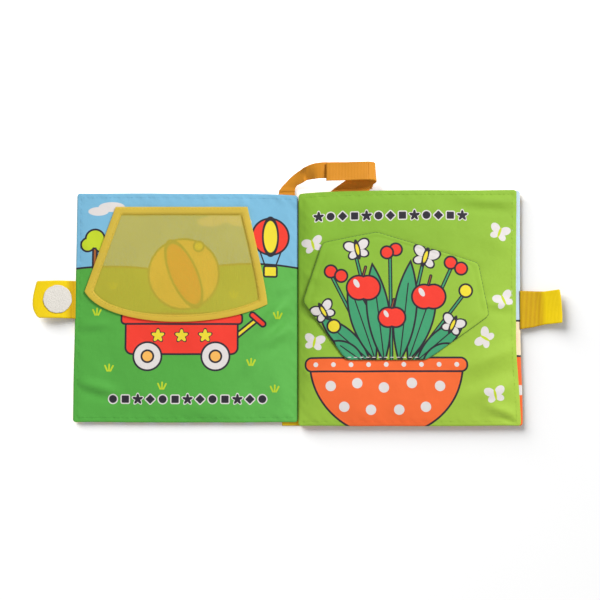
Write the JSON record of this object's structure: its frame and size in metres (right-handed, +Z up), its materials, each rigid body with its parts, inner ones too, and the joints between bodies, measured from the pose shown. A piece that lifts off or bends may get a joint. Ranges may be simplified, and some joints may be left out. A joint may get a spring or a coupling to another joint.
{
  "type": "cloth book",
  "caption": "Soft crinkle cloth book for a baby, open flat, with a sheer lift flap, a padded picture flap, ribbon closing tabs and a ribbon hanging loop.",
  "frame": {"origin": "middle of the underside of the spine cloth, on the table that the open book lies on", "axes": "+X across the open book towards the back cover's fore edge, +Y to the top of the pages, +Z up off the table"},
  "size_m": [0.3596, 0.1795, 0.013],
  "materials": {
    "left_page_print": "satin polyester printed with sky and grass",
    "right_page_print": "satin polyester printed lime green",
    "orange_print": "satin polyester printed sky over orange",
    "cover_cloth": "satin polyester, yellow",
    "crinkle_film": "crackling film, sewn inside",
    "wadding": "thin white wadding, sewn inside",
    "organza": "sheer gold organza",
    "organza_hem": "organza folded double, gold",
    "tab_ribbon": "yellow satin ribbon",
    "hook_disc": "white hook tape",
    "loop_disc": "white loop tape",
    "strap_ribbon": "orange grosgrain ribbon"
  },
  "bodies": {
    "back_cover": {"back_cover_outer": "cover_cloth", "back_cover_inner": "orange_print", "back_cover_film": "crinkle_film", "back_cover_wadding": "wadding", "spine_binding": "cover_cloth", "strap_root_left": "strap_ribbon", "strap_root_right": "strap_ribbon"},
    "front_cover": {"front_cover_outer": "cover_cloth", "front_cover_inner": "left_page_print", "front_cover_film": "crinkle_film", "front_cover_wadding": "wadding"},
    "middle_leaf": {"middle_leaf_back": "orange_print", "middle_leaf_front": "right_page_print", "middle_leaf_film": "crinkle_film", "middle_leaf_wadding": "wadding"},
    "sheer_flap": {"sheer_hem": "organza_hem", "sheer_panel": "organza"},
    "picture_flap": {"picture_flap_back": "orange_print", "picture_flap_film": "crinkle_film", "picture_flap_front": "right_page_print"},
    "front_tab": {"front_tab_ribbon": "tab_ribbon", "front_tab_hook_disc": "hook_disc"},
    "back_tab": {"back_tab_ribbon": "tab_ribbon", "back_tab_loop_disc": "loop_disc"},
    "carry_strap": {"strap_short_ribbon": "strap_ribbon", "strap_long_ribbon": "strap_ribbon", "strap_hook_patch": "hook_disc"},
    "strap_end": {"strap_end_ribbon": "strap_ribbon", "strap_loop_patch": "loop_disc"}
  },
  "joints": [
    {"name": "front_cover_close", "type": "hinge", "parent": "back_cover", "child": "front_cover", "pos_m": [0, 0, 0.0093], "axis": [0, 1, 0], "range_deg": [0, 179.5]},
    {"name": "middle_leaf_turn", "type": "hinge", "parent": "back_cover", "child": "middle_leaf", "pos_m": [0, 0, 0.0093], "axis": [0, 1, 0], "range_deg": [-179.5, 0]},
    {"name": "sheer_flap_lift", "type": "hinge", "parent": "front_cover", "child": "sheer_flap", "pos_m": [-0.0798, 0.0682, 0.0057], "axis": [1, 0, 0], "range_deg": [-179.5, 0]},
    {"name": "picture_flap_lift", "type": "hinge", "parent": "middle_leaf", "child": "picture_flap", "pos_m": [0.0595, -0.0368, 0.01], "axis": [-1, 0, 0], "range_deg": [-179.5, 0]},
    {"name": "front_tab_bend", "type": "hinge", "parent": "front_cover", "child": "front_tab", "pos_m": [-0.15215, 0.0044, 0.0029], "axis": [0, -1, 0], "range_deg": [-84, 0]},
    {"name": "back_tab_bend", "type": "hinge", "parent": "back_cover", "child": "back_tab", "pos_m": [0.15215, -0.0023, 0.0029], "axis": [0, 1, 0], "range_deg": [-86, 0]},
    {"name": "carry_strap_lift", "type": "hinge", "parent": "back_cover", "child": "carry_strap", "pos_m": [0.0145, 0.0806, 0.0017], "axis": [-1, 0, 0], "range_deg": [-75, 0]},
    {"name": "strap_end_peel", "type": "hinge", "parent": "carry_strap", "child": "strap_end", "pos_m": [0.04785, 0.0926, 0.0117], "axis": [0, -1, 0], "range_deg": [-70, 0]}
  ]
}
